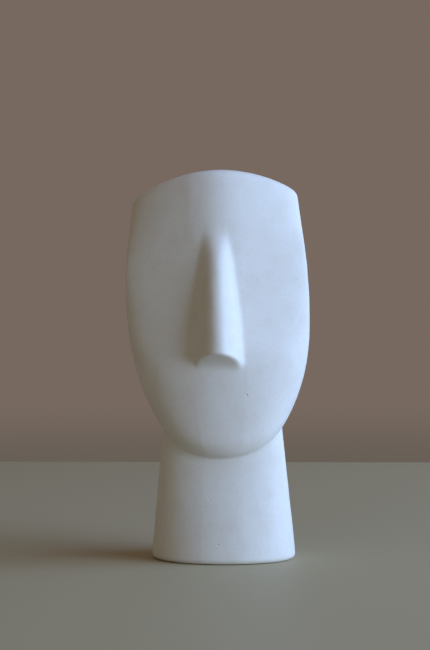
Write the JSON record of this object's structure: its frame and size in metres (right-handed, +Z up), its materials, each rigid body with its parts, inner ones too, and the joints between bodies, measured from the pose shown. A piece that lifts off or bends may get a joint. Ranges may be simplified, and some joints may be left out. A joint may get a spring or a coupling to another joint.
{
  "type": "cycladic figure head",
  "caption": "Cast head on a long neck in the Cycladic manner: a flat shield of a face with only a wedge nose, standing on the cut foot of its neck.",
  "frame": {"origin": "middle of the flat foot, on the surface that the figure stands on", "axes": "+Z up the neck, -Y the way the face looks, +X to the right of someone who faces it"},
  "size_m": [0.1044, 0.0717, 0.2199],
  "materials": {
    "white_casting_plaster": "satin"
  },
  "bodies": {
    "root": {"cycladic_head": "white_casting_plaster"}
  },
  "joints": []
}
